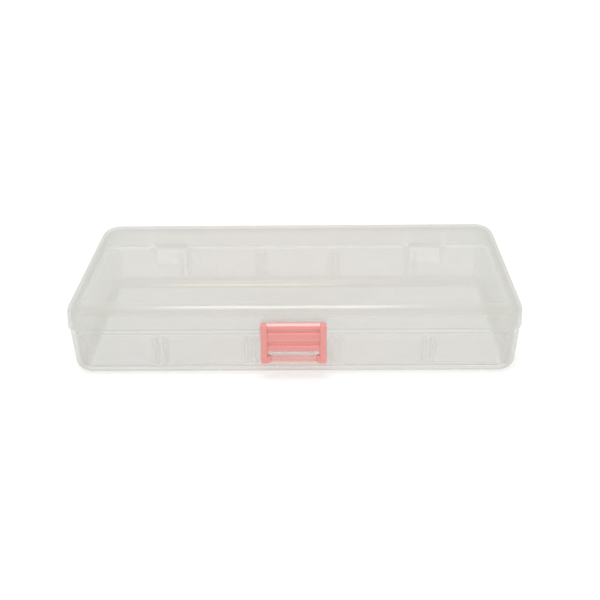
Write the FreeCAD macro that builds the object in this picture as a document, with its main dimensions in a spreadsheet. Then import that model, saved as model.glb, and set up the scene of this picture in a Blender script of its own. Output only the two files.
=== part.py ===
import FreeCAD, Part
import math
import os
import Sketcher
from FreeCAD import Vector, Placement, Rotation

# Slim moulded pencil case: tray, hinged lid and snap latch.
# Millimetres.  +X along the length, -Y is the front (latch side), +Z up.
# Origin: middle of the closed case on the surface it stands on.

doc = FreeCAD.newDocument("pencil_case")

# ---------------------------------------------------------------- dimensions
DIMENSIONS = [
    # closed case
    ("case_length", 200.0),     # outside length of the lid at its rim
    ("case_depth", 99.0),       # outside depth of the lid at its rim
    ("case_height", 34.6),      # table to top of lid
    ("corner_rad", 10.0),       # plan corner radius of the lid rim
    ("seam_height", 20.8),      # height of the tray's shoulder
    ("seam_gap", 0.35),         # open joint between shoulder and lid rim
    # tray
    ("tray_inset", 0.7),        # how far the tray wall stands inside the lid wall
    ("tray_wall", 1.9),
    ("tray_floor", 1.7),
    ("tray_draft", 3.8),        # degrees
    ("tray_bottom_rad", 5.5),
    ("tray_inner_rad", 4.0),
    ("lip_gap", 0.35),          # lip to inside of the lid wall
    ("lip_height", 1.8),
    # divider rails
    ("bay_pitch", 39.2),        # one fifth of the inside length
    ("rail_pitch", 3.4),        # between the two rails of a pair
    ("rail_width", 0.9),
    ("rail_proud", 1.3),
    ("rail_top", 18.2),
    # lid
    ("lid_wall", 1.5),
    ("lid_draft", 2.2),         # degrees
    ("lid_top_rad", 6.5),
    ("lid_inner_rad", 5.0),
    ("catch_width", 19.0),
    ("catch_height", 24.0),     # underside of the catch ridge
    ("catch_proud", 0.75),
    # back hinges
    ("hinge_y", 51.9),
    ("hinge_z", 19.6),
    ("hinge_x", 66.0),          # middle of each hinge from the middle of the case
    ("hinge_barrel_rad", 2.1),
    ("hinge_barrel_half", 8.0),
    ("hinge_stud_rad", 1.2),
    ("hinge_stud_play", 0.05),
    ("hinge_stud_length", 3.2),
    ("hinge_ear_rad", 2.3),
    ("hinge_ear_width", 2.6),
    ("hinge_side_gap", 0.35),
    # latch
    ("latch_y", 51.9),          # pivot, in front of the case middle
    ("latch_z", 10.5),
    ("latch_barrel_rad", 1.95),
    ("latch_barrel_half", 9.8),
    ("latch_clip_gap", 1.9),
    ("latch_pin_rad", 1.25),
    ("latch_pin_play", 0.05),
    ("latch_half_width", 14.3),
    ("latch_arm_width", 3.2),
    ("latch_arm_rad", 2.3),
    ("latch_top", 28.0),
    ("latch_front", 54.2),
    ("latch_back", 51.05),
    ("latch_boss", 0.95),
    ("panel_front", 53.4),
    ("panel_web", 52.7),
    ("panel_bottom", 14.7),
    ("bar_one_low", 25.5),
    ("bar_two_high", 23.6),
    ("bar_two_low", 19.6),
    ("bar_three_high", 17.3),
    ("hook_reach", 50.6),
]
sheet = doc.addObject("Spreadsheet::Sheet", "dims")
for row, (alias, value) in enumerate(DIMENSIONS, start=1):
    sheet.set("A%d" % row, alias)
    sheet.set("B%d" % row, str(value))
    sheet.setAlias("B%d" % row, alias)
doc.recompute()


class Dim:
    """A length with its value and the sheet expression that gives it."""

    def __init__(self, text, value):
        self.text = text
        self.value = float(value)

    @staticmethod
    def of(other):
        return other if isinstance(other, Dim) else Dim(repr(float(other)), other)

    def __add__(self, other):
        other = Dim.of(other)
        return Dim("(%s + %s)" % (self.text, other.text), self.value + other.value)

    __radd__ = __add__

    def __sub__(self, other):
        other = Dim.of(other)
        return Dim("(%s - %s)" % (self.text, other.text), self.value - other.value)

    def __rsub__(self, other):
        return Dim.of(other) - self

    def __mul__(self, factor):
        factor = Dim.of(factor)
        return Dim("(%s * %s)" % (self.text, factor.text), self.value * factor.value)

    __rmul__ = __mul__

    def __neg__(self):
        return Dim("(0 - %s)" % self.text, -self.value)


def dim(alias):
    return Dim("dims." + alias, sheet.get(alias))


# ---------------------------------------------------------------- helpers
def new_body(name):
    body = doc.addObject("PartDesign::Body", name)
    body.Label = name
    return body


def plane(body, role):
    for feature in body.Origin.OriginFeatures:
        if feature.Role == role:
            return feature
    raise RuntimeError("no " + role)


def new_sketch(body, name, role, offset=None):
    sketch = body.newObject("Sketcher::SketchObject", name)
    sketch.AttachmentSupport = [(plane(body, role), "")]
    sketch.MapMode = "FlatFace"
    if offset is not None:
        offset = Dim.of(offset)
        sketch.AttachmentOffset = Placement(Vector(0, 0, offset.value), Rotation())
        sketch.setExpression("AttachmentOffset.Base.z", offset.text)
    return sketch


def datum(sketch, constraint, size):
    index = sketch.addConstraint(constraint)
    name = "c%d" % index
    sketch.renameConstraint(index, name)
    sketch.setExpression("Constraints." + name, size.text)
    return index


def place_point(sketch, geo, pos, px, py):
    """Hold a sketch point at (px, py), each a Dim or number."""
    for kind, size in (("DistanceX", Dim.of(px)), ("DistanceY", Dim.of(py))):
        if abs(size.value) < 1e-9:
            other = "Vertical" if kind == "DistanceX" else "Horizontal"
            sketch.addConstraint(Sketcher.Constraint(other, -1, 1, geo, pos))
        elif size.value > 0:
            datum(sketch, Sketcher.Constraint(kind, -1, 1, geo, pos, size.value), size)
        else:
            flip = -size
            datum(sketch, Sketcher.Constraint(kind, geo, pos, -1, 1, flip.value), flip)


def rounded_rectangle(sketch, length, depth, radius):
    """Rounded rectangle about the sketch origin, all three sizes Dims."""
    hx, hy, r = length.value / 2, depth.value / 2, radius.value
    first = sketch.GeometryCount
    corners = [(hx - r, -hy + r, -90), (hx - r, hy - r, 0), (-hx + r, hy - r, 90), (-hx + r, -hy + r, 180)]
    sides = [((-hx + r, -hy), (hx - r, -hy)), ((hx, -hy + r), (hx, hy - r)),
             ((hx - r, hy), (-hx + r, hy)), ((-hx, hy - r), (-hx, -hy + r))]
    for (a, b), (cx, cy, start) in zip(sides, corners):
        sketch.addGeometry(Part.LineSegment(Vector(a[0], a[1], 0), Vector(b[0], b[1], 0)))
        circle = Part.Circle(Vector(cx, cy, 0), Vector(0, 0, 1), r)
        sketch.addGeometry(Part.ArcOfCircle(circle, math.radians(start), math.radians(start + 90)))
    line = [first + 2 * k for k in range(4)]
    arc = [first + 2 * k + 1 for k in range(4)]
    for k in range(4):
        sketch.addConstraint(Sketcher.Constraint("Tangent", line[k], 2, arc[k], 1))
        sketch.addConstraint(Sketcher.Constraint("Tangent", arc[k], 2, line[(k + 1) % 4], 1))
    sketch.addConstraint(Sketcher.Constraint("Horizontal", line[0]))
    sketch.addConstraint(Sketcher.Constraint("Horizontal", line[2]))
    sketch.addConstraint(Sketcher.Constraint("Vertical", line[1]))
    sketch.addConstraint(Sketcher.Constraint("Vertical", line[3]))
    for k in range(1, 4):
        sketch.addConstraint(Sketcher.Constraint("Equal", arc[0], arc[k]))
    sketch.addConstraint(Sketcher.Constraint("Symmetric", arc[0], 3, arc[2], 3, -1, 1))
    datum(sketch, Sketcher.Constraint("Radius", arc[0], r), radius)
    datum(sketch, Sketcher.Constraint("DistanceX", line[3], 1, line[1], 1, length.value), length)
    datum(sketch, Sketcher.Constraint("DistanceY", line[0], 1, line[2], 1, depth.value), depth)


def polygon(sketch, points):
    """Closed polygon whose corners are each held at a pair of Dims."""
    first = sketch.GeometryCount
    pts = [(Dim.of(a), Dim.of(b)) for a, b in points]
    count = len(pts)
    for k in range(count):
        a, b = pts[k], pts[(k + 1) % count]
        sketch.addGeometry(Part.LineSegment(Vector(a[0].value, a[1].value, 0), Vector(b[0].value, b[1].value, 0)))
    for k in range(count):
        sketch.addConstraint(Sketcher.Constraint("Coincident", first + k, 2, first + (k + 1) % count, 1))
        place_point(sketch, first + k, 1, pts[k][0], pts[k][1])


def disc(sketch, px, py, radius):
    px, py, radius = Dim.of(px), Dim.of(py), Dim.of(radius)
    geo = sketch.addGeometry(Part.Circle(Vector(px.value, py.value, 0), Vector(0, 0, 1), radius.value))
    place_point(sketch, geo, 3, px, py)
    datum(sketch, Sketcher.Constraint("Radius", geo, radius.value), radius)


def feature(body, kind, name, sketch, length, side="One side", reverse=False, taper=None):
    item = body.newObject("PartDesign::" + kind, name)
    item.Profile = sketch
    item.SideType = side
    length = Dim.of(length)
    item.Length = length.value
    item.setExpression("Length", length.text)
    item.Reversed = reverse
    if taper is not None:
        item.TaperAngle = taper.value
        item.setExpression("TaperAngle", taper.text)
    body.Tip = item
    doc.recompute()
    return item


def round_edges(body, name, radius, pick):
    """Fillet on the tip's edges for which pick(edge) holds."""
    tip = body.Tip
    names = ["Edge%d" % (k + 1) for k, edge in enumerate(tip.Shape.Edges) if pick(edge)]
    if not names:
        raise RuntimeError("no edges for " + name)
    item = body.newObject("PartDesign::Fillet", name)
    item.Base = (tip, names)
    radius = Dim.of(radius)
    item.Radius = radius.value
    item.setExpression("Radius", radius.text)
    body.Tip = item
    doc.recompute()
    return item


def mirror(body, name, originals):
    item = body.newObject("PartDesign::Mirrored", name)
    item.Originals = originals
    item.MirrorPlane = (plane(body, "YZ_Plane"), [""])
    body.Tip = item
    doc.recompute()
    return item


def repeat(body, name, originals, length, count):
    item = body.newObject("PartDesign::LinearPattern", name)
    item.Originals = originals
    item.Direction = (plane(body, "X_Axis"), [""])
    item.Length = length.value
    item.setExpression("Length", length.text)
    item.Occurrences = count
    body.Tip = item
    doc.recompute()
    return item


def flat_at(edge, z, tol=0.02):
    box = edge.BoundBox
    return abs(box.ZMin - z) < tol and abs(box.ZMax - z) < tol


def volume_step(label, before, body, grows):
    after = body.Tip.Shape.Volume
    change = after - before
    if (change <= 0) if grows else (change >= 0):
        raise RuntimeError("%s did not change the solid as meant (%.3f)" % (label, change))
    print("%-28s %+10.2f mm3" % (label, change))
    return after


# ---------------------------------------------------------------- tray
tray = new_body("tray")
tray_length = dim("case_length") - 2 * dim("tray_inset")
tray_depth = dim("case_depth") - 2 * dim("tray_inset")
tray_rad = dim("corner_rad") - dim("tray_inset")

outer = new_sketch(tray, "tray_outline", "XY_Plane", dim("seam_height"))
rounded_rectangle(outer, tray_length, tray_depth, tray_rad)
block = feature(tray, "Pad", "tray_block", outer, dim("seam_height"), reverse=True, taper=-dim("tray_draft"))
if block.Shape.BoundBox.XLength > tray_length.value + 0.01:
    block.setExpression("TaperAngle", dim("tray_draft").text)
    doc.recompute()
round_edges(tray, "tray_bottom_round", dim("tray_bottom_rad"), lambda e: flat_at(e, 0.0))
vol = tray.Tip.Shape.Volume

inner = new_sketch(tray, "tray_cavity_outline", "XY_Plane", dim("seam_height"))
rounded_rectangle(inner, tray_length - 2 * dim("tray_wall"), tray_depth - 2 * dim("tray_wall"), tray_rad - dim("tray_wall"))
cavity = feature(tray, "Pocket", "tray_cavity", inner, dim("seam_height") - dim("tray_floor"), taper=-dim("tray_draft"))
vol = volume_step("tray cavity", vol, tray, False)
floor_z = dim("tray_floor").value
round_edges(tray, "tray_inner_round", dim("tray_inner_rad"), lambda e: flat_at(e, floor_z))

# lip that stands inside the lid wall
lip = new_sketch(tray, "lip_outline", "XY_Plane", dim("seam_height"))
lip_out = 2 * dim("lid_wall") + 2 * dim("lip_gap")
rounded_rectangle(lip, dim("case_length") - lip_out, dim("case_depth") - lip_out, dim("corner_rad") - dim("lid_wall") - dim("lip_gap"))
rounded_rectangle(lip, tray_length - 2 * dim("tray_wall"), tray_depth - 2 * dim("tray_wall"), tray_rad - dim("tray_wall"))
vol = tray.Tip.Shape.Volume
feature(tray, "Pad", "lip", lip, dim("lip_height"))
vol = volume_step("tray lip", vol, tray, True)

# divider rails: pairs of upright ribs, front and back, at the four bay lines
slope = math.tan(math.radians(dim("tray_draft").value))
tan_draft = Dim("tan(dims.tray_draft * 1 deg)", slope)
wall_rim = tray_depth * 0.5 - dim("tray_wall")
drop = dim("seam_height") - dim("rail_top")
wall_at_top = wall_rim - drop * tan_draft
wall_at_floor = wall_rim - (dim("seam_height") - 1.0) * tan_draft
wall_above_round = wall_rim - (dim("seam_height") - 6.0) * tan_draft
for side, shift in (("left", -0.5), ("right", 0.5)):
    sk = new_sketch(tray, "rail_%s_profile" % side, "YZ_Plane", dim("bay_pitch") * -1.5 + dim("rail_pitch") * shift)
    for sign in (-1.0, 1.0):
        polygon(sk, [((wall_above_round + 0.6) * sign, Dim.of(6.0)),
                     ((wall_at_floor - 0.2) * sign, Dim.of(2.3)),
                     ((wall_at_floor - dim("rail_proud") + 0.05) * sign, Dim.of(1.9)),
                     ((wall_at_top - dim("rail_proud")) * sign, dim("rail_top") - 1.2),
                     ((wall_at_top - 0.25) * sign, dim("rail_top")),
                     ((wall_at_top + 0.6) * sign, dim("rail_top"))])
    pad = feature(tray, "Pad", "rail_%s" % side, sk, dim("rail_width"), side="Symmetric")
    vol = volume_step("rail " + side, vol, tray, True)
    repeat(tray, "rails_%s" % side, [pad], dim("bay_pitch") * 3, 4)
    vol = volume_step("rails " + side, vol, tray, True)

# barrel and web that the latch turns on
wall_out_at = lambda z: tray_depth * 0.5 - (dim("seam_height") - z) * tan_draft
sk = new_sketch(tray, "latch_barrel_profile", "YZ_Plane")
disc(sk, -dim("latch_y"), dim("latch_z"), dim("latch_barrel_rad"))
feature(tray, "Pad", "latch_barrel", sk, dim("latch_barrel_half") * 2, side="Symmetric")
sk = new_sketch(tray, "latch_web_profile", "YZ_Plane")
polygon(sk, [(-(wall_out_at(dim("latch_z")) - 1.0), dim("latch_z") - 1.3),
             (-dim("latch_y"), dim("latch_z") - 0.8),
             (-dim("latch_y"), dim("latch_z") + 0.8),
             (-(wall_out_at(dim("latch_z")) - 1.0), dim("latch_z") + 1.3)])
feature(tray, "Pad", "latch_web", sk, dim("latch_barrel_half") * 2 - 1.0, side="Symmetric")
vol = volume_step("latch barrel", vol, tray, True)
sk = new_sketch(tray, "latch_bore_profile", "YZ_Plane")
disc(sk, -dim("latch_y"), dim("latch_z"), dim("latch_pin_rad") + dim("latch_pin_play"))
feature(tray, "Pocket", "latch_bore", sk, dim("latch_barrel_half") * 2 + 2.0, side="Symmetric")
vol = volume_step("latch bore", vol, tray, False)
# mouth along the underside of the barrel, which the latch pin is pressed in through
sk = new_sketch(tray, "latch_mouth_profile", "YZ_Plane")
polygon(sk, [(-dim("latch_y") - dim("latch_clip_gap") * 0.5, dim("latch_z") - 0.3),
             (-dim("latch_y") - dim("latch_clip_gap") * 0.5, dim("latch_z") - dim("latch_barrel_rad") + 0.3),
             (-dim("latch_y") - dim("latch_clip_gap") * 0.5 - 0.4, dim("latch_z") - dim("latch_barrel_rad") - 0.4),
             (-dim("latch_y") + dim("latch_clip_gap") * 0.5 + 0.4, dim("latch_z") - dim("latch_barrel_rad") - 0.4),
             (-dim("latch_y") + dim("latch_clip_gap") * 0.5, dim("latch_z") - dim("latch_barrel_rad") + 0.3),
             (-dim("latch_y") + dim("latch_clip_gap") * 0.5, dim("latch_z") - 0.3)])
feature(tray, "Pocket", "latch_mouth", sk, dim("latch_barrel_half") * 2 + 2.0, side="Symmetric")
vol = volume_step("latch mouth", vol, tray, False)

# two hinge barrels at the back, each on a sloping web
sk = new_sketch(tray, "hinge_barrel_profile", "YZ_Plane", dim("hinge_x"))
disc(sk, dim("hinge_y"), dim("hinge_z"), dim("hinge_barrel_rad"))
barrel = feature(tray, "Pad", "hinge_barrel", sk, dim("hinge_barrel_half") * 2, side="Symmetric")
sk = new_sketch(tray, "hinge_web_profile", "YZ_Plane", dim("hinge_x"))
polygon(sk, [(wall_out_at(dim("hinge_z") - 8.0) - 1.0, dim("hinge_z") - 8.0),
             (wall_out_at(dim("hinge_z") - 8.0) + 0.2, dim("hinge_z") - 8.0),
             (dim("hinge_y") + dim("hinge_barrel_rad") * 0.8, dim("hinge_z") - dim("hinge_barrel_rad") * 0.6),
             (dim("hinge_y"), dim("hinge_z") + 0.6),
             (wall_out_at(dim("hinge_z")) - 1.0, dim("hinge_z") + 0.6)])
web = feature(tray, "Pad", "hinge_web", sk, dim("hinge_barrel_half") * 2 - 0.4, side="Symmetric")
vol = volume_step("hinge barrel", vol, tray, True)
sk = new_sketch(tray, "hinge_bore_profile", "YZ_Plane", dim("hinge_x"))
disc(sk, dim("hinge_y"), dim("hinge_z"), dim("hinge_stud_rad") + dim("hinge_stud_play"))
bore = feature(tray, "Pocket", "hinge_bore", sk, dim("hinge_barrel_half") * 2 + 2.0, side="Symmetric")
vol = volume_step("hinge bore", vol, tray, False)
mirror(tray, "hinge_barrels", [barrel, web, bore])
vol = volume_step("second hinge barrel", vol, tray, True)

# ---------------------------------------------------------------- lid
lid = new_body("lid")
rim_z = dim("seam_height") + dim("seam_gap")
sk = new_sketch(lid, "lid_outline", "XY_Plane", rim_z)
rounded_rectangle(sk, dim("case_length"), dim("case_depth"), dim("corner_rad"))
block = feature(lid, "Pad", "lid_block", sk, dim("case_height") - rim_z, taper=-dim("lid_draft"))
if block.Shape.BoundBox.XLength > dim("case_length").value + 0.01:
    block.setExpression("TaperAngle", dim("lid_draft").text)
    doc.recompute()
top_z = dim("case_height").value
round_edges(lid, "lid_top_round", dim("lid_top_rad"), lambda e: flat_at(e, top_z))
vol = lid.Tip.Shape.Volume
# hollow: a tapered, rounded core taken out from below
core = new_body("lid_core")
sk = new_sketch(core, "core_outline", "XY_Plane", rim_z - 1.0)
rounded_rectangle(sk, dim("case_length") - 2 * dim("lid_wall"), dim("case_depth") - 2 * dim("lid_wall"), dim("corner_rad") - dim("lid_wall"))
block = feature(core, "Pad", "core_block", sk, dim("case_height") - rim_z - dim("lid_wall") + 1.0, taper=-dim("lid_draft"))
if block.Shape.BoundBox.XLength > (dim("case_length") - 2 * dim("lid_wall")).value + 0.01:
    block.setExpression("TaperAngle", dim("lid_draft").text)
    doc.recompute()
ceiling_z = (dim("case_height") - dim("lid_wall")).value
round_edges(core, "core_round", dim("lid_inner_rad"), lambda e: flat_at(e, ceiling_z))
hollow = lid.newObject("PartDesign::Boolean", "lid_hollow")
hollow.Type = "Cut"
hollow.addObject(core)
lid.Tip = hollow
doc.recompute()
vol = volume_step("lid cavity", vol, lid, False)

# catch ridge on the front wall, behind the latch
lid_slope = math.tan(math.radians(dim("lid_draft").value))
tan_lid = Dim("tan(dims.lid_draft * 1 deg)", lid_slope)
lid_face_at = lambda z: dim("case_depth") * 0.5 - (z - rim_z) * tan_lid
vol = lid.Tip.Shape.Volume
sk = new_sketch(lid, "catch_profile", "YZ_Plane")
ridge = dim("catch_height")
polygon(sk, [(-(lid_face_at(ridge) - 0.7), ridge - 0.6),
             (-(lid_face_at(ridge)), ridge - 0.6),
             (-(lid_face_at(ridge) + dim("catch_proud")), ridge),
             (-(lid_face_at(ridge) + dim("catch_proud")), ridge + 0.5),
             (-(lid_face_at(ridge)), ridge + 0.9),
             (-(lid_face_at(ridge) - 0.7), ridge + 0.9)])
feature(lid, "Pad", "catch_ridge", sk, dim("catch_width"), side="Symmetric")
vol = volume_step("catch ridge", vol, lid, True)

# hinge ears: a pair at each hinge, with a stud on each ear that runs in the barrel
ear_in = dim("hinge_barrel_half") + dim("hinge_side_gap")
parts_right = []
for side, sign in (("inner", -1.0), ("outer", 1.0)):
    middle = dim("hinge_x") + (ear_in + dim("hinge_ear_width") * 0.5) * sign
    sk = new_sketch(lid, "ear_%s_disc_profile" % side, "YZ_Plane", middle)
    disc(sk, dim("hinge_y"), dim("hinge_z"), dim("hinge_ear_rad"))
    parts_right.append(feature(lid, "Pad", "ear_%s_disc" % side, sk, dim("hinge_ear_width"), side="Symmetric"))
    sk = new_sketch(lid, "ear_%s_web_profile" % side, "YZ_Plane", middle)
    polygon(sk, [(lid_face_at(rim_z) - 0.8, rim_z + 0.15),
                 (dim("hinge_y") - dim("hinge_ear_rad") * 0.75, dim("hinge_z") + dim("hinge_ear_rad") * 0.3),
                 (dim("hinge_y"), dim("hinge_z")),
                 (dim("hinge_y") + dim("hinge_ear_rad") * 0.94, dim("hinge_z") + dim("hinge_ear_rad") * 0.34),
                 (lid_face_at(rim_z) + 0.3, rim_z + 7.0),
                 (lid_face_at(rim_z) - 0.8, rim_z + 7.0)])
    parts_right.append(feature(lid, "Pad", "ear_%s_web" % side, sk, dim("hinge_ear_width"), side="Symmetric"))
    stud_mid = dim("hinge_x") + (ear_in - dim("hinge_stud_length") * 0.5 + 0.5) * sign
    sk = new_sketch(lid, "stud_%s_profile" % side, "YZ_Plane", stud_mid)
    disc(sk, dim("hinge_y"), dim("hinge_z"), dim("hinge_stud_rad"))
    parts_right.append(feature(lid, "Pad", "stud_%s" % side, sk, dim("hinge_stud_length") + 1.0, side="Symmetric"))
vol = volume_step("hinge ears", vol, lid, True)
mirror(lid, "hinge_ears", parts_right)
vol = volume_step("second hinge ears", vol, lid, True)

# ---------------------------------------------------------------- latch
latch = new_body("latch")
panel_half = dim("latch_half_width") - dim("latch_arm_width")
arm_mid = dim("latch_half_width") - dim("latch_arm_width") * 0.5
sk = new_sketch(latch, "panel_profile", "YZ_Plane")
polygon(sk, [(-dim("latch_back"), dim("panel_bottom")),
             (-dim("latch_back"), dim("latch_top") - 0.5),
             (-dim("latch_back") - 0.5, dim("latch_top")),
             (-dim("panel_front") + 0.8, dim("latch_top")),
             (-dim("panel_front"), dim("latch_top") - 0.8),
             (-dim("panel_front"), dim("bar_one_low") + 0.3),
             (-dim("panel_web"), dim("bar_one_low")),
             (-dim("panel_web"), dim("bar_two_high")),
             (-dim("panel_front"), dim("bar_two_high") - 0.3),
             (-dim("panel_front"), dim("bar_two_low") + 0.3),
             (-dim("panel_web"), dim("bar_two_low")),
             (-dim("panel_web"), dim("bar_three_high")),
             (-dim("panel_front"), dim("bar_three_high") - 0.3),
             (-dim("panel_front"), dim("panel_bottom") + 0.4),
             (-dim("panel_front") + 0.4, dim("panel_bottom"))])
feature(latch, "Pad", "panel", sk, panel_half * 2 + 1.0, side="Symmetric")
vol = latch.Tip.Shape.Volume

# hook: a nib along the inside of the panel, above the catch ridge
sk = new_sketch(latch, "hook_profile", "YZ_Plane")
polygon(sk, [(-dim("latch_back") - 0.5, ridge + 1.3),
             (-dim("hook_reach"), ridge + 1.3),
             (-dim("hook_reach"), ridge + 1.9),
             (-dim("latch_back"), ridge + 3.2),
             (-dim("latch_back") - 0.5, ridge + 3.2)])
feature(latch, "Pad", "hook", sk, dim("catch_width") - 1.0, side="Symmetric")
vol = volume_step("hook", vol, latch, True)

# side arm with its round foot and boss
arm = []
sk = new_sketch(latch, "arm_profile", "YZ_Plane", arm_mid)
polygon(sk, [(-dim("latch_back"), dim("latch_z")),
             (-dim("latch_back"), dim("latch_top") - 0.7),
             (-dim("latch_back") - 0.7, dim("latch_top")),
             (-dim("latch_front") + 1.1, dim("latch_top")),
             (-dim("latch_front"), dim("latch_top") - 1.1),
             (-dim("latch_front"), dim("latch_z") + 1.0),
             (-dim("latch_y") - dim("latch_arm_rad"), dim("latch_z"))])
arm.append(feature(latch, "Pad", "arm", sk, dim("latch_arm_width"), side="Symmetric"))
sk = new_sketch(latch, "foot_profile", "YZ_Plane", arm_mid)
disc(sk, -dim("latch_y"), dim("latch_z"), dim("latch_arm_rad"))
arm.append(feature(latch, "Pad", "foot", sk, dim("latch_arm_width"), side="Symmetric"))
sk = new_sketch(latch, "boss_profile", "YZ_Plane", panel_half - dim("latch_boss") * 0.5 + 0.2)
disc(sk, -dim("latch_y"), dim("latch_z"), dim("latch_arm_rad") - 0.35)
arm.append(feature(latch, "Pad", "boss", sk, dim("latch_boss") + 0.4, side="Symmetric"))
vol = volume_step("arm", vol, latch, True)
mirror(latch, "arms", arm)
vol = volume_step("second arm", vol, latch, True)
# pin across the feet, which turns in the tray's barrel
sk = new_sketch(latch, "pin_profile", "YZ_Plane")
disc(sk, -dim("latch_y"), dim("latch_z"), dim("latch_pin_rad"))
feature(latch, "Pad", "pin", sk, (panel_half - dim("latch_boss") + 0.4) * 2, side="Symmetric")
vol = volume_step("pin", vol, latch, True)
# soften the arms' outer upright edges
arm_edges = lambda e: (abs(abs(e.BoundBox.XMin) - dim("latch_half_width").value) < 0.01
                       and abs(e.BoundBox.XLength) < 0.01 and e.BoundBox.YMax < -dim("latch_back").value - 0.1
                       and e.BoundBox.YMin < -dim("latch_front").value + 0.05)
round_edges(latch, "arm_round", 0.8, arm_edges)

# ---------------------------------------------------------------- check and write
doc.recompute()
for item in doc.Objects:
    states = list(item.State)
    if "Invalid" in states or "Error" in states:
        raise RuntimeError("%s is %s" % (item.Name, states))
os.makedirs("parts", exist_ok=True)
for body in (tray, lid, latch):
    shape = body.Shape
    if shape.isNull() or not shape.isValid():
        raise RuntimeError(body.Label + " is not a valid shape")
    solids = shape.Solids
    if len(solids) != 1:
        raise RuntimeError("%s has %d solids" % (body.Label, len(solids)))
    box = shape.BoundBox
    print("%-6s volume %9.1f mm3  x %.2f..%.2f  y %.2f..%.2f  z %.2f..%.2f" % (
        body.Label, shape.Volume, box.XMin, box.XMax, box.YMin, box.YMax, box.ZMin, box.ZMax))
    shape.exportStep("parts/%s.step" % body.Label)
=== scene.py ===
import bpy
import bmesh
import math
from mathutils import Matrix, Vector


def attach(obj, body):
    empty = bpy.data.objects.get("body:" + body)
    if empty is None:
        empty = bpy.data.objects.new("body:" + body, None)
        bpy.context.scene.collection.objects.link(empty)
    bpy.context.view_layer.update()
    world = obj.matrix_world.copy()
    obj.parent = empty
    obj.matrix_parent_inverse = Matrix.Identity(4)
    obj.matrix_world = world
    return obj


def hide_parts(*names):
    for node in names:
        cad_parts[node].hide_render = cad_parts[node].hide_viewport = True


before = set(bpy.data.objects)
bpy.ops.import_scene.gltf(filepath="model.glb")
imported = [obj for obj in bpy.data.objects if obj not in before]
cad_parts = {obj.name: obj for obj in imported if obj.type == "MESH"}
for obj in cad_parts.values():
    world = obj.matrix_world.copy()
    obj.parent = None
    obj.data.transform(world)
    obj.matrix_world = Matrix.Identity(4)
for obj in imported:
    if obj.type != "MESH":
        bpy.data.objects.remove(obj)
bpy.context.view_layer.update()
scene = bpy.context.scene
MM = 0.001

# Sizes in millimetres, the same as the CAD model's.
CASE_L, CASE_D, CASE_H, CORNER = 200.0, 99.0, 34.6, 10.0
SHOULDER, RIM = 20.8, 21.15
TRAY_IN, TRAY_WALL, TRAY_FLOOR = 0.7, 1.9, 1.7
TRAY_T, LID_T = math.tan(math.radians(3.8)), math.tan(math.radians(2.2))
TRAY_OUT_R, TRAY_IN_R, LID_OUT_R, LID_IN_R = 5.5, 4.0, 6.5, 5.0
LID_WALL, LIP_OUT, LIP_TOP = 1.5, 1.85, 22.6
BAY, RAIL_PITCH, RAIL_W, RAIL_PROUD, RAIL_TOP = 39.2, 3.4, 0.9, 1.3, 18.2
HINGE = (51.9, 19.6)
LATCH = (-51.9, 10.5)


# ------------------------------------------------------------------ mesh tools
def arc(cx, cy, r, a0, a1, n):
    """Points on an arc from angle a0 to a1 in degrees."""
    return [(cx + r * math.cos(math.radians(a0 + (a1 - a0) * k / n)),
             cy + r * math.sin(math.radians(a0 + (a1 - a0) * k / n))) for k in range(n + 1)]


def loop_points(inset, z, n=14, mx=40, my=20):
    """A rounded rectangle about the Z axis, inset from the case's outline; the corner centres stay put."""
    r = max(CORNER - inset, 0.0)
    cx, cy = CASE_L / 2 - CORNER, CASE_D / 2 - CORNER
    pts = []
    for (sx, sy, a0), (dx, dy, m) in zip(
            ((1, -1, -90), (1, 1, 0), (-1, 1, 90), (-1, -1, 180)),
            ((0, 1, my), (-1, 0, mx), (0, -1, my), (1, 0, mx))):
        ox, oy = sx * cx, sy * cy
        for k in range(n + 1):
            a = math.radians(a0 + 90.0 * k / n)
            pts.append((ox + r * math.cos(a), oy + r * math.sin(a), z))
        last = pts[-1]
        run = 2 * (cx if dx else cy)
        for k in range(1, m):
            pts.append((last[0] + dx * run * k / m, last[1] + dy * run * k / m, z))
    return pts


def add_faces(bm, verts, faces):
    vs = [bm.verts.new((x * MM, y * MM, z * MM)) for x, y, z in verts]
    for f in faces:
        bm.faces.new([vs[i] for i in f])


def finish_mesh(bm, name):
    bmesh.ops.remove_doubles(bm, verts=bm.verts, dist=2e-7)
    bmesh.ops.recalc_face_normals(bm, faces=bm.faces)
    mesh = bpy.data.meshes.new(name)
    bm.to_mesh(mesh)
    bm.free()
    ob = bpy.data.objects.new(name, mesh)
    scene.collection.objects.link(ob)
    return ob


def shell(name, profile):
    """A closed shell: the profile's (inset, z) points swept round the rounded rectangle, closed by a flat grid at both ends."""
    bm = bmesh.new()
    rings = []
    for inset, z in profile:
        rings.append([bm.verts.new((x * MM, y * MM, z * MM)) for x, y, z in loop_points(inset, z)])
    count = len(rings[0])
    for a, b in zip(rings, rings[1:]):
        for k in range(count):
            bm.faces.new((a[k], a[(k + 1) % count], b[(k + 1) % count], b[k]))
    for z in (profile[0][1], profile[-1][1]):
        cx, cy = CASE_L / 2 - CORNER, CASE_D / 2 - CORNER
        grid = [[bm.verts.new(((cx - 2 * cx * i / 40) * MM, (cy - 2 * cy * j / 20) * MM, z * MM)) for j in range(21)]
                for i in range(41)]
        for i in range(40):
            for j in range(20):
                bm.faces.new((grid[i][j], grid[i + 1][j], grid[i + 1][j + 1], grid[i][j + 1]))
    return finish_mesh(bm, name)


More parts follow.
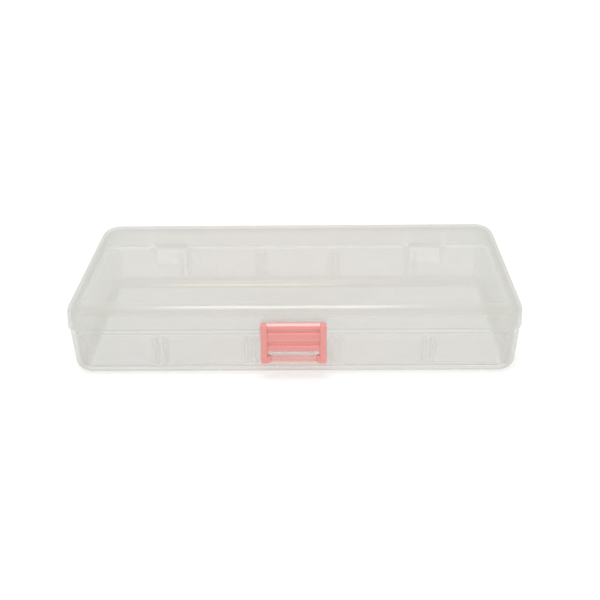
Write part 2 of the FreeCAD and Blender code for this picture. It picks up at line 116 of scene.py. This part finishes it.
def soft_polygon(points, radius, seg=4):
    """Rounds each corner of a closed polygon. radius is one number or one per corner."""
    out = []
    n = len(points)
    for k in range(n):
        r = radius[k] if isinstance(radius, (list, tuple)) else radius
        p0, p1, p2 = Vector(points[k - 1]), Vector(points[k]), Vector(points[(k + 1) % n])
        a, b = (p0 - p1), (p2 - p1)
        la, lb = a.length, b.length
        a.normalize(); b.normalize()
        ang = a.angle(b)
        if r <= 0 or ang > math.radians(176):
            out.append(tuple(p1))
            continue
        t = min(r / math.tan(ang / 2), la * 0.48, lb * 0.48)
        rr = t * math.tan(ang / 2)
        centre = p1 + (a + b).normalized() * (rr / math.sin(ang / 2))
        s, e = p1 + a * t - centre, p1 + b * t - centre
        turn = s.angle_signed(e)
        for j in range(seg + 1):
            w = -turn * j / seg
            out.append((centre.x + s.x * math.cos(w) - s.y * math.sin(w),
                        centre.y + s.x * math.sin(w) + s.y * math.cos(w)))
    return out


def prism(name, outline, x0, x1, edge=0.0, seg=3):
    """A solid with a (y, z) outline from x0 to x1, its two end rims rounded by edge."""
    bm = bmesh.new()
    n = len(outline)
    a = [bm.verts.new((x0 * MM, y * MM, z * MM)) for y, z in outline]
    b = [bm.verts.new((x1 * MM, y * MM, z * MM)) for y, z in outline]
    for k in range(n):
        bm.faces.new((a[k], a[(k + 1) % n], b[(k + 1) % n], b[k]))
    fa, fb = bm.faces.new(a), bm.faces.new(b)
    if edge:
        rims = [e for f in (fa, fb) for e in f.edges]
        bmesh.ops.bevel(bm, geom=rims, offset=edge * MM, offset_type="OFFSET", segments=seg, profile=0.5,
                        affect="EDGES", clamp_overlap=True)
    return finish_mesh(bm, name)


def drum(name, cy, cz, r, x0, x1, edge=0.2, n=40):
    return prism(name, arc(cy, cz, r, 0, 360 - 360 / n, n - 1), x0, x1, edge)


def combine(target, others, kind="UNION"):
    """Fuses or cuts the others into target with exact booleans, and removes the others."""
    for other in others:
        mod = target.modifiers.new("b", "BOOLEAN")
        mod.operation = kind
        mod.solver = "EXACT"
        mod.object = other
    bpy.context.view_layer.update()
    dg = bpy.context.evaluated_depsgraph_get()
    mesh = bpy.data.meshes.new_from_object(target.evaluated_get(dg), depsgraph=dg)
    target.modifiers.clear()
    old = target.data
    target.data = mesh
    bpy.data.meshes.remove(old)
    for other in others:
        m = other.data
        bpy.data.objects.remove(other)
        bpy.data.meshes.remove(m)
    return target


def polish(ob, angle=38.0):
    """Smooth shading with true flats: sharp edges by angle, then face-weighted normals."""
    bm = bmesh.new()
    bm.from_mesh(ob.data)
    bmesh.ops.remove_doubles(bm, verts=bm.verts, dist=2e-7)
    bmesh.ops.dissolve_degenerate(bm, edges=bm.edges, dist=2e-7)
    bmesh.ops.recalc_face_normals(bm, faces=bm.faces)
    bm.to_mesh(ob.data)
    open_edges = sum(1 for e in bm.edges if not e.is_manifold)
    volume = bm.calc_volume() * 1e9
    bm.free()
    for p in ob.data.polygons:
        p.use_smooth = True
    ob.data.set_sharp_from_angle(angle=math.radians(angle))
    mod = ob.modifiers.new("weighted", "WEIGHTED_NORMAL")
    mod.keep_sharp = True
    mod.weight = 80
    dg = bpy.context.evaluated_depsgraph_get()
    mesh = bpy.data.meshes.new_from_object(ob.evaluated_get(dg), depsgraph=dg)
    ob.modifiers.clear()
    old = ob.data
    ob.data = mesh
    bpy.data.meshes.remove(old)
    print("PIECE", ob.name, "faces", len(mesh.polygons), "open edges", open_edges, "volume mm3", round(volume, 1))
    return ob


def zone(ob, slot, test):
    """Gives the faces that pass the test (centre in mm, normal) the material in that slot."""
    for poly in ob.data.polygons:
        if test(poly.center / MM, poly.normal):
            poly.material_index = slot


def bar(name, x0, x1, z0, z1, y_back, y_front, corner, crown, back_edge=0.3, n=8, m=6):
    """An upright bar with a rounded front: rounded rectangles in the XZ plane, lofted from back to front."""
    rows = [(back_edge * (1 - math.sin(math.radians(a))), y_back - back_edge * (1 - math.cos(math.radians(a))))
            for a in (0, 30, 60, 90)]
    rows += [(crown * (1 - math.cos(math.radians(a))), y_front + crown * (1 - math.sin(math.radians(a))))
             for a in [90.0 * k / m for k in range(m + 1)]]
    bm = bmesh.new()
    rings = []
    for inset, y in rows:
        r = max(corner - inset, 0.12)
        pts = []
        for sx, sz, a0 in ((1, -1, -90), (1, 1, 0), (-1, 1, 90), (-1, -1, 180)):
            ox = (x1 - inset - r) if sx > 0 else (x0 + inset + r)
            oz = (z1 - inset - r) if sz > 0 else (z0 + inset + r)
            for k in range(n + 1):
                w = math.radians(a0 + 90.0 * k / n)
                pts.append(bm.verts.new(((ox + r * math.cos(w)) * MM, y * MM, (oz + r * math.sin(w)) * MM)))
        rings.append(pts)
    count = len(rings[0])
    for a, b in zip(rings, rings[1:]):
        for k in range(count):
            bm.faces.new((a[k], a[(k + 1) % count], b[(k + 1) % count], b[k]))
    bm.faces.new(rings[0])
    bm.faces.new(rings[-1])
    return finish_mesh(bm, name)


# ------------------------------------------------------------------ tray
def fillet_arc(wall_in, t, zc, r, a0, a1, n, floor_side):
    """Arc tangent to a drafted wall: returns (inset, z) points. floor_side (-1 below the centre, 1 above) is not used.
    """
    cos = math.cos(math.atan(t))
    u = -wall_in(zc) - r / cos
    return [(-(u + r * math.cos(math.radians(a))), zc + r * math.sin(math.radians(a)))
            for a in [a0 + (a1 - a0) * k / n for k in range(n + 1)]]


tray_out = lambda z: TRAY_IN + (SHOULDER - z) * TRAY_T
tray_inn = lambda z: TRAY_IN + TRAY_WALL + (SHOULDER - z) * TRAY_T
E = 0.32
profile = [(CORNER, 0.0), (9.0, 0.0), (7.9, 0.0)]
profile += fillet_arc(tray_out, TRAY_T, TRAY_OUT_R, TRAY_OUT_R, -90, -3.8, 12, -1)
profile += [(tray_out(9), 9.0), (tray_out(13), 13.0), (tray_out(17), 17.0)]
profile += [(-x, z) for x, z in arc(-(TRAY_IN + E), SHOULDER - E, E, -2, 90, 4)]
profile += [(LIP_OUT - 0.25, SHOULDER), (LIP_OUT - 0.07, SHOULDER + 0.07), (LIP_OUT, SHOULDER + 0.25)]
profile += [(LIP_OUT, LIP_TOP - 0.9)]
profile += [(-x, z) for x, z in arc(-(LIP_OUT + 0.3), LIP_TOP - 0.3, 0.3, 0, 90, 4)]
profile += [(-x, z) for x, z in arc(-(TRAY_IN + TRAY_WALL - 0.3), LIP_TOP - 0.3, 0.3, 90, 180, 4)]
profile += [(tray_inn(SHOULDER), SHOULDER + 0.4), (tray_inn(SHOULDER - 0.4), SHOULDER - 0.4), (tray_inn(17), 17.0), (tray_inn(13), 13.0), (tray_inn(9), 9.0)]
zc = TRAY_FLOOR + TRAY_IN_R
profile += fillet_arc(tray_inn, TRAY_T, zc, TRAY_IN_R, -3.8, -90, 12, -1)
profile += [(tray_inn(zc) + TRAY_IN_R + 0.5, TRAY_FLOOR), (CORNER, TRAY_FLOOR)]
tray = shell("tray_shell", profile)

pieces = []
wall = CASE_D / 2
for k in range(4):
    for s in (-0.5, 0.5):
        xm = (k - 1.5) * BAY + s * RAIL_PITCH
        for sign in (-1, 1):
            in_at = lambda z: wall - tray_inn(z)
            pts = [(in_at(6.0) + 0.7, 6.0), (in_at(2.3) - 0.2, 2.3), (in_at(1.0) - RAIL_PROUD + 0.05, 1.9),
                   (in_at(RAIL_TOP) - RAIL_PROUD, RAIL_TOP - 1.2), (in_at(RAIL_TOP) - 0.25, RAIL_TOP), (in_at(RAIL_TOP) + 0.7, RAIL_TOP)]
            outline = soft_polygon([(y * sign, z) for y, z in pts], [0.0, 0.0, 0.0, 0.5, 0.5, 0.0], 4)
            pieces.append(prism("rail", outline, xm - RAIL_W / 2, xm + RAIL_W / 2, 0.22, 3))
out_at = lambda z: wall - tray_out(z)
pieces.append(prism("web", [(-(out_at(10.5) - 1.0), 9.2), (LATCH[0], 9.7), (LATCH[0], 11.3), (-(out_at(10.5) - 1.0), 11.8)], -9.3, 9.3, 0.2))
pieces.append(drum("barrel", *LATCH, 1.95, -9.8, 9.8, 0.3))
for sx in (-1, 1):
    m = 66.0 * sx
    pieces.append(prism("web", [(out_at(11.6) - 1.0, 11.6), (out_at(11.6) + 0.2, 11.6), (HINGE[0] + 1.68, HINGE[1] - 1.26),
                                (HINGE[0], HINGE[1] + 0.6), (out_at(19.6) - 1.0, HINGE[1] + 0.6)], m - 7.8, m + 7.8, 0.2))
    pieces.append(drum("barrel", *HINGE, 2.1, m - 8.0, m + 8.0, 0.25))
combine(tray, pieces)
bores = [drum("bore", *LATCH, 1.3, -11, 11, 0)]
bores.append(prism("mouth", [(LATCH[0] - 0.95, LATCH[1] - 0.3), (LATCH[0] - 0.95, LATCH[1] - 1.65), (LATCH[0] - 1.35, LATCH[1] - 2.35),
                             (LATCH[0] + 1.35, LATCH[1] - 2.35), (LATCH[0] + 0.95, LATCH[1] - 1.65), (LATCH[0] + 0.95, LATCH[1] - 0.3)], -11, 11))
bores += [drum("bore", *HINGE, 1.25, 66.0 * sx - 9, 66.0 * sx + 9, 0) for sx in (-1, 1)]
combine(tray, bores, "DIFFERENCE")
polish(tray)

# ------------------------------------------------------------------ lid
lid_out = lambda z: (z - RIM) * LID_T
lid_inn = lambda z: LID_WALL + (z - RIM) * LID_T
zc = CASE_H - LID_OUT_R
profile = [(CORNER, CASE_H), (9.0, CASE_H), (8.0, CASE_H)]
profile += fillet_arc(lid_out, LID_T, zc, LID_OUT_R, 90, 2.2, 14, 1)
profile += [(lid_out(25), 25.0), (lid_out(22.4), 22.4)]
profile += [(-x, z) for x, z in arc(-E, RIM + E, E, 0, -90, 4)]
profile += [(-x, z) for x, z in arc(-(LID_WALL - E), RIM + E, E, -90, -180, 4)]
profile += [(lid_inn(22.4), 22.4), (lid_inn(25), 25.0)]
profile += fillet_arc(lid_inn, LID_T, CASE_H - LID_WALL - LID_IN_R, LID_IN_R, 2.2, 90, 12, 1)
profile += [(8.4, CASE_H - LID_WALL), (CORNER, CASE_H - LID_WALL)]
lid = shell("lid_shell", profile)
pieces = []
face = lambda z: wall - lid_out(z)
r0 = 24.0
pts = [(-(face(r0) - 0.7), r0 - 0.6), (-face(r0), r0 - 0.6), (-(face(r0) + 0.75), r0), (-(face(r0) + 0.75), r0 + 0.5), (-face(r0), r0 + 0.9), (-(face(r0) - 0.7), r0 + 0.9)]
pieces.append(prism("ridge", soft_polygon(pts, [0, 0, 0.2, 0.2, 0, 0], 3), -9.5, 9.5, 0.2))
for sx in (-1, 1):
    for so in (-1, 1):
        m = 66.0 * sx + so * (8.35 + 1.3)
        ear = [(face(RIM) - 0.8, RIM + 0.15), (HINGE[0] - 1.72, HINGE[1] + 0.69), (HINGE[0], HINGE[1]), (HINGE[0] + 2.16, HINGE[1] + 0.78),
               (face(RIM) + 0.3, RIM + 7.0), (face(RIM) - 0.8, RIM + 7.0)]
        pieces.append(prism("ear", ear, m - 1.3, m + 1.3, 0.3))
        pieces.append(drum("ear_disc", *HINGE, 2.3, m - 1.3, m + 1.3, 0.3))
        inner = 66.0 * sx + so * 8.35
        a, b = sorted((inner + so * 0.5, inner - so * 3.2))
        pieces.append(drum("stud", *HINGE, 1.2, a, b, 0.2))
combine(lid, pieces)
polish(lid)

# ------------------------------------------------------------------ latch
LB, LF, LT = -51.05, -54.2, 28.0
PF, PW = -53.4, -52.7
panel = [(LB, 14.7), (LB, LT), (PF + 1.15, LT), (PF, LT - 0.97), (PF, 25.5), (PW, 25.2), (PW, 23.9), (PF, 23.6), (PF, 22.75), (PF + 0.22, 22.3),
         (PF + 0.22, 20.9), (PF, 20.45), (PF, 19.6), (PW, 19.3), (PW, 17.6), (PF, 17.3), (PF, 14.7)]
latch = prism("latch_body", soft_polygon(panel, [0.35, 0.6, 0.4, 0.4, 0.8, 0.3, 0.3, 0.6, 0.6, 0.4, 0.4, 0.6, 0.6, 0.3, 0.3, 0.8, 0.8], 6), -11.7, 11.7, 0)
pieces = [prism("hook", soft_polygon([(LB - 0.5, r0 + 1.3), (-50.6, r0 + 1.3), (-50.6, r0 + 1.9), (LB, r0 + 3.2), (LB - 0.5, r0 + 3.2)], [0, 0.15, 0.3, 0, 0], 3), -9.0, 9.0, 0.2)]
for sx in (-1, 1):
    a, b = sorted((11.1 * sx, 14.3 * sx))
    upright = bar("arm", a, b, LATCH[1] - 2.3, LT, -49.2, LF, 1.5, 1.45)
    foot = arc(*LATCH, 2.3, -180, 20, 28)
    outline = [(LF - 0.0, LT - 1.3), (LF - 0.0, LATCH[1] + 1.0)] + foot + [(LB, 13.4)] + [(LB, LT - 0.7), (LB - 0.35, LT - 0.1), (LB - 0.8, LT)] + \
        [(y, z) for y, z in arc(LF + 1.3, LT - 1.3, 1.3, 90, 168, 8)]
    side = prism("side", outline, a - 1, b + 1)
    combine(upright, [side], "INTERSECT")
    pieces.append(upright)
    a, b = sorted((10.15 * sx, 11.6 * sx))
    pieces.append(drum("boss", *LATCH, 1.95, a, b, 0.5))
pieces.append(drum("pin", *LATCH, 1.25, -10.6, 10.6, 0, 36))
combine(latch, pieces)
polish(latch, 42.0)


# ------------------------------------------------------------------ materials
def new_material(name):
    mat = bpy.data.materials.new(name)
    mat.use_nodes = True
    nt = mat.node_tree
    nt.nodes.clear()
    out = nt.nodes.new("ShaderNodeOutputMaterial")
    return mat, nt, out


def math_node(nt, op, a, b=None, clamp=False):
    node = nt.nodes.new("ShaderNodeMath")
    node.operation = op
    node.use_clamp = clamp
    for k, v in enumerate((a, b)):
        if v is None:
            continue
        if isinstance(v, (int, float)):
            node.inputs[k].default_value = v
        else:
            nt.links.new(v, node.inputs[k])
    return node.outputs[0]


def clear_plastic(name, tint, film, bend=0.34, shine_back=0.04, gloss=0.16, painted_glow=0.0):
    """Milky polypropylene wall. film is the share of light one surface scatters, square on; bend is what a
    rounded edge adds, where the light runs along inside the wall; shine_back is the mirrored share, square on."""
    mat, nt, out = new_material(name)
    coord = nt.nodes.new("ShaderNodeTexCoord")
    cloud = nt.nodes.new("ShaderNodeTexNoise")
    cloud.inputs["Scale"].default_value = 16.0
    cloud.inputs["Detail"].default_value = 4.0
    nt.links.new(coord.outputs["Object"], cloud.inputs["Vector"])
    grain = nt.nodes.new("ShaderNodeTexNoise")
    grain.inputs["Scale"].default_value = 900.0
    grain.inputs["Detail"].default_value = 2.0
    nt.links.new(coord.outputs["Object"], grain.inputs["Vector"])
    colour = nt.nodes.new("ShaderNodeMix")
    colour.data_type = "RGBA"
    colour.inputs[6].default_value = (*[c * 0.965 for c in tint], 1)
    colour.inputs[7].default_value = (*[min(c * 1.02, 1.0) for c in tint], 1)
    nt.links.new(cloud.outputs["Fac"], colour.inputs[0])
    # painted pink light spill and painted shade from the latch come in through this attribute and multiply the
    # plastic's colour by a darker pink
    ends, painted_spill_shade = nt.nodes.new("ShaderNodeAttribute"), nt.nodes.new("ShaderNodeAttribute")
    ends.attribute_name, painted_spill_shade.attribute_name = "ends", "painted_spill_shade"
    cool, painted_spill_colour = nt.nodes.new("ShaderNodeMix"), nt.nodes.new("ShaderNodeMix")
    for node, base, share, shade in ((cool, colour, ends, (0.965, 1.0, 1.0)), (painted_spill_colour, cool, painted_spill_shade, (1.0, 0.80, 0.74))):
        node.data_type, node.blend_type = "RGBA", "MULTIPLY"
        nt.links.new(share.outputs["Fac"], node.inputs[0])
        nt.links.new(base.outputs[2], node.inputs[6])
        node.inputs[7].default_value = (*shade, 1)
    bump = nt.nodes.new("ShaderNodeBump")
    bump.inputs["Strength"].default_value = 0.05
    bump.inputs["Distance"].default_value = 0.00004
    nt.links.new(grain.outputs["Fac"], bump.inputs["Height"])
    body = nt.nodes.new("ShaderNodeBsdfDiffuse")
    nt.links.new(painted_spill_colour.outputs[2], body.inputs["Color"])
    glow = nt.nodes.new("ShaderNodeBsdfTranslucent")
    nt.links.new(painted_spill_colour.outputs[2], glow.inputs["Color"])
    milk = nt.nodes.new("ShaderNodeMixShader")
    milk.inputs[0].default_value = 0.45
    nt.links.new(body.outputs[0], milk.inputs[1])
    nt.links.new(glow.outputs[0], milk.inputs[2])
    through = nt.nodes.new("ShaderNodeBsdfTransparent")
    facing = nt.nodes.new("ShaderNodeLayerWeight")
    facing.inputs["Blend"].default_value = 0.5
    edge = facing.outputs["Facing"]
    thick = nt.nodes.new("ShaderNodeAttribute")
    thick.attribute_name = "haze"
    alpha = math_node(nt, "ADD", math_node(nt, "MULTIPLY", math_node(nt, "POWER", edge, 2.5), film * 1.3), film)
    veil = nt.nodes.new("ShaderNodeAttribute")
    veil.attribute_name = "veil"
    alpha = math_node(nt, "ADD", veil.outputs["Fac"], alpha)
    alpha = math_node(nt, "ADD", math_node(nt, "MULTIPLY", thick.outputs["Fac"], bend), alpha, True)
    wall = nt.nodes.new("ShaderNodeMixShader")
    nt.links.new(alpha, wall.inputs[0])
    nt.links.new(through.outputs[0], wall.inputs[1])
    nt.links.new(milk.outputs[0], wall.inputs[2])
    shine = nt.nodes.new("ShaderNodeBsdfGlossy")
    shine.inputs["Roughness"].default_value = gloss
    nt.links.new(bump.outputs[0], shine.inputs["Normal"])
    fresnel = math_node(nt, "ADD", math_node(nt, "MULTIPLY", math_node(nt, "POWER", edge, 5.0), 0.12), shine_back, True)
    full = nt.nodes.new("ShaderNodeMixShader")
    nt.links.new(fresnel, full.inputs[0])
    nt.links.new(wall.outputs[0], full.inputs[1])
    nt.links.new(shine.outputs[0], full.inputs[2])
    if not painted_glow:
        nt.links.new(full.outputs[0], out.inputs["Surface"])
        return mat
    # painted highlight: a warm emission over part of this edge's length paints the bright line where light carried
    # along inside the wall comes out; the edge is no lamp
    where = nt.nodes.new("ShaderNodeSeparateXYZ")
    nt.links.new(coord.outputs["Object"], where.inputs[0])
    rise = nt.nodes.new("ShaderNodeMapRange")
    fall = nt.nodes.new("ShaderNodeMapRange")
    for node, x0, x1, v0, v1 in ((rise, -0.084, -0.050, 0.0, 1.0), (fall, 0.002, 0.026, 1.0, 0.0)):
        nt.links.new(where.outputs["X"], node.inputs["Value"])
        node.inputs["From Min"].default_value, node.inputs["From Max"].default_value = x0, x1
        node.inputs["To Min"].default_value, node.inputs["To Max"].default_value = v0, v1
    strength = math_node(nt, "MULTIPLY", math_node(nt, "MULTIPLY", rise.outputs["Result"], fall.outputs["Result"]), painted_glow)
    painted_glow_emission = nt.nodes.new("ShaderNodeEmission")
    painted_glow_emission.inputs["Color"].default_value = (1.0, 0.82, 0.42, 1)
    nt.links.new(strength, painted_glow_emission.inputs["Strength"])
    both = nt.nodes.new("ShaderNodeAddShader")
    nt.links.new(full.outputs[0], both.inputs[0])
    nt.links.new(painted_glow_emission.outputs[0], both.inputs[1])
    nt.links.new(both.outputs[0], out.inputs["Surface"])
    return mat


def solid_plastic(name, colour, deep):
    """Opaque moulded polypropylene: faint cloudy colour, fine satin grain, a little light let in."""
    mat, nt, out = new_material(name)
    coord = nt.nodes.new("ShaderNodeTexCoord")
    cloud = nt.nodes.new("ShaderNodeTexNoise")
    cloud.inputs["Scale"].default_value = 110.0
    cloud.inputs["Detail"].default_value = 4.0
    nt.links.new(coord.outputs["Object"], cloud.inputs["Vector"])
    grain = nt.nodes.new("ShaderNodeTexNoise")
    grain.inputs["Scale"].default_value = 2600.0
    grain.inputs["Detail"].default_value = 2.0
    nt.links.new(coord.outputs["Object"], grain.inputs["Vector"])
    tint = nt.nodes.new("ShaderNodeMix")
    tint.data_type = "RGBA"
    tint.inputs[6].default_value = (*deep, 1)
    tint.inputs[7].default_value = (*colour, 1)
    nt.links.new(cloud.outputs["Fac"], tint.inputs[0])
    rough = nt.nodes.new("ShaderNodeMapRange")
    rough.inputs["To Min"].default_value = 0.24
    rough.inputs["To Max"].default_value = 0.34
    nt.links.new(grain.outputs["Fac"], rough.inputs["Value"])
    bump = nt.nodes.new("ShaderNodeBump")
    bump.inputs["Strength"].default_value = 0.12
    bump.inputs["Distance"].default_value = 0.00002
    nt.links.new(grain.outputs["Fac"], bump.inputs["Height"])
    bsdf = nt.nodes.new("ShaderNodeBsdfPrincipled")
    bsdf.inputs["IOR"].default_value = 1.5
    bsdf.inputs["Subsurface Weight"].default_value = 0.15
    bsdf.inputs["Subsurface Radius"].default_value = (1.0, 0.35, 0.3)
    bsdf.inputs["Subsurface Scale"].default_value = 0.0012
    bsdf.inputs["Coat Weight"].default_value = 0.65
    bsdf.inputs["Coat Roughness"].default_value = 0.17
    nt.links.new(tint.outputs[2], bsdf.inputs["Base Color"])
    nt.links.new(rough.outputs["Result"], bsdf.inputs["Roughness"])
    nt.links.new(bump.outputs[0], bsdf.inputs["Normal"])
    nt.links.new(bsdf.outputs["BSDF"], out.inputs["Surface"])
    return mat


MILK, MILK_LID, MILK_TRAY = (0.700, 0.676, 0.630), (0.711, 0.688, 0.642), (0.731, 0.702, 0.656)
tray_mats = [clear_plastic("pp_tray", MILK_TRAY, 0.21, 0.28), clear_plastic("pp_tray_lip", MILK, 0.05, 0.10),
             clear_plastic("pp_tray_rails", MILK, 0.22, 0.0), clear_plastic("pp_tray_hinge", MILK, 0.115, 0.0, 0.02),
             # the clip round the latch's pin gets the tray's plastic in a whiter colour: a painted lighter copy that
             # offsets the shade in the latch's recess
             clear_plastic("pp_tray_clip_lightened", (1.0, 1.0, 0.98), 0.27, 0.0), clear_plastic("pp_tray_floor", MILK, 0.13),
             clear_plastic("pp_tray_cove", MILK, 0.17, 0.14, 0.10), clear_plastic("pp_tray_edge_painted_glow", MILK, 0.17, 0.14, 0.10, painted_glow=0.34), clear_plastic("pp_tray_back_rails", MILK, 0.33, 0.0)]
lid_mats = [clear_plastic("pp_lid", MILK_LID, 0.25, 0.22), clear_plastic("pp_lid_rim", MILK_LID, 0.08, 0.05),
            clear_plastic("pp_lid_hinge", MILK_LID, 0.03, 0.0, 0.01)]
pink_mat = solid_plastic("pp_pink", (0.765, 0.290, 0.264), (0.725, 0.262, 0.240))
for ob, mats, body, node, slot in ((tray, tray_mats, "tray", "tray", "tray_plastic"), (lid, lid_mats, "lid", "lid", "lid_plastic"),
                                   (latch, [pink_mat], "latch", "latch", "latch_plastic")):
    ob.data.materials.clear()
    for m in mats:
        ob.data.materials.append(m)
    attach(ob, body)
    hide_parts(node)

for ob in (tray, lid, latch):
    for poly in ob.data.polygons:
        poly.material_index = 0
for ob in (tray, lid):
    haze = ob.data.attributes.new("haze", "FLOAT", "POINT")
    normals = [Vector((0, 0, 0)) for v in ob.data.vertices]
    for poly in ob.data.polygons:
        for v in poly.vertices:
            normals[v] += poly.normal * poly.area
    for v, n in zip(ob.data.vertices, normals):
        n.normalize()
        bent = min(1.0, 4.0 * n.z ** 2 * (1.0 - n.z ** 2)) ** 0.6
        turned = min(1.0, 4.0 * n.x ** 2 * n.y ** 2) ** 0.6 * 0.6
        haze.data[v.index].value = max(bent, turned)
    # the end walls are seen through more plastic; the tray's front wall round the foot of the pink latch gets painted
    # pink light spill and painted shade from the latch, pinker and darker close to it
    ends = ob.data.attributes.new("ends", "FLOAT", "POINT")
    painted_spill_shade = ob.data.attributes.new("painted_spill_shade", "FLOAT", "POINT")
    veil = ob.data.attributes.new("veil", "FLOAT", "POINT")
    for v in ob.data.vertices:
        c = v.co / MM
        ends.data[v.index].value = min(1.0, max(0.0, (abs(c.x) - 45.0) / 50.0))
        if ob is tray and abs(wall + c.y - tray_out(c.z)) < 0.3 and 5.5 < c.z < SHOULDER - 0.5:
            veil.data[v.index].value = 0.09 * (1.0 if c.z < 9.1 else min(1.0, max(0.0, (abs(c.x) - 8.0) / 8.0)))
        # painted spill and shade: full beside and under the latch's foot, fading with distance from it
        far = math.hypot(max(abs(c.x) - 13.5, 0.0) * 2.5, max(3.2 * (c.z - 28.0), 0.3 * (8.0 - c.z), 0.0))
        low = min(1.0, max(0.0, (14.5 - c.z) / 3.0))
        painted_spill_shade.data[v.index].value = low * max(0.0, 1.0 - far / 9.0) ** 1.2 if ob is tray and c.y < -44.0 else 0.0
zone(tray, 5, lambda c, n: c.z < 2.2 and abs(n.z) > 0.97)
zone(tray, 6, lambda c, n: TRAY_FLOOR < c.z < 6.2 and 0.15 < n.z < 0.97)
# the back strip of the tray floor gets the material with the painted warm glow
zone(tray, 7, lambda c, n: TRAY_FLOOR - 0.01 < c.z < 2.0 and c.y > 30.0 and 0.95 < n.z < 0.9999 and abs(c.x) < 90.0)
zone(tray, 1, lambda c, n: c.z > SHOULDER - 0.4)
for k in range(4):
    for s in (-0.5, 0.5):
        xm = (k - 1.5) * BAY + s * RAIL_PITCH
        zone(tray, 2, lambda c, n: abs(c.x - xm) < 0.46 and 2.0 < c.z < RAIL_TOP + 0.1
             and 40.0 < -c.y < wall - tray_inn(c.z) - 0.05)
        zone(tray, 8, lambda c, n: abs(c.x - xm) < 0.46 and 2.0 < c.z < RAIL_TOP + 0.1
             and 40.0 < c.y < wall - tray_inn(c.z) - 0.05)
zone(tray, 3, lambda c, n: c.y > wall - tray_out(c.z) + 0.05 and abs(abs(c.x) - 66.0) < 8.1)
zone(tray, 4, lambda c, n: c.y < -(wall - tray_out(c.z) + 0.05) and abs(c.x) < 10.0 and 7.0 < c.z < 14.0)
zone(lid, 1, lambda c, n: c.z < 22.9 and abs(c.x) < CASE_L / 2 - 0.6 and abs(c.y) < CASE_D / 2 - 0.6)
zone(lid, 2, lambda c, n: c.y > wall - lid_out(c.z) + 0.1 and abs(abs(c.x) - 66.0) < 12.0)

# ------------------------------------------------------------------ floor and light
bpy.ops.mesh.primitive_plane_add(size=40.0, location=(0, 0, 0))
floor = bpy.context.object
floor.name = "floor"
mat, nt, out = new_material("floor_paper")
bsdf = nt.nodes.new("ShaderNodeBsdfPrincipled")
bsdf.inputs["Base Color"].default_value = (0.45, 0.45, 0.45, 1)
bsdf.inputs["Roughness"].default_value = 0.9
bsdf.inputs["Specular IOR Level"].default_value = 0.1
bsdf.inputs["Emission Color"].default_value = (1, 1, 1, 1)
bsdf.inputs["Emission Strength"].default_value = 0.57
nt.links.new(bsdf.outputs["BSDF"], out.inputs["Surface"])
floor.data.materials.append(mat)

world = bpy.data.worlds.new("studio")
world.use_nodes = True
world.node_tree.nodes["Background"].inputs["Color"].default_value = (1, 1, 1, 1)
world.node_tree.nodes["Background"].inputs["Strength"].default_value = 0.97
scene.world = world


def area(name, loc, target, size, power, colour=(1, 1, 1)):
    light = bpy.data.lights.new(name, "AREA")
    light.shape = "RECTANGLE"
    light.size, light.size_y = size
    light.energy = power
    light.color = colour
    ob = bpy.data.objects.new(name, light)
    scene.collection.objects.link(ob)
    ob.location = loc
    ob.rotation_euler = (Vector(target) - Vector(loc)).to_track_quat("-Z", "Y").to_euler()
    return ob


area("key", (-0.04, -0.27, 0.97), (0, 0, 0.01), (0.33, 0.28), 2.3)

scene.cycles.transparent_max_bounces = 32
scene.view_settings.view_transform = "Standard"
scene.view_settings.look = "None"
scene.view_settings.exposure = 0.0

# ------------------------------------------------------------------ camera
AZ, EL, DIST, F_PX, ROLL, TX, TZ = 1.23, 25.99, 487.7, 1015.2, -0.844, 1.909, 13.611
a, e, r = math.radians(AZ), math.radians(EL), math.radians(ROLL)
back = Vector((math.sin(a) * math.cos(e), -math.cos(a) * math.cos(e), math.sin(e)))
side = (-back).cross(Vector((0, 0, 1))).normalized()
up = side.cross(-back)
cam_x = side * math.cos(r) + up * math.sin(r)
cam_y = -side * math.sin(r) + up * math.cos(r)
cam = bpy.data.cameras.new("camera")
cam.sensor_width = 36.0
cam.lens = F_PX * 36.0 / 600.0
cam.clip_start = 0.01
cam_ob = bpy.data.objects.new("camera", cam)
scene.collection.objects.link(cam_ob)
place = Matrix((cam_x, cam_y, back)).transposed().to_4x4()
place.translation = (Vector((TX, 0, TZ)) + back * DIST) * MM
cam_ob.matrix_world = place
scene.camera = cam_ob
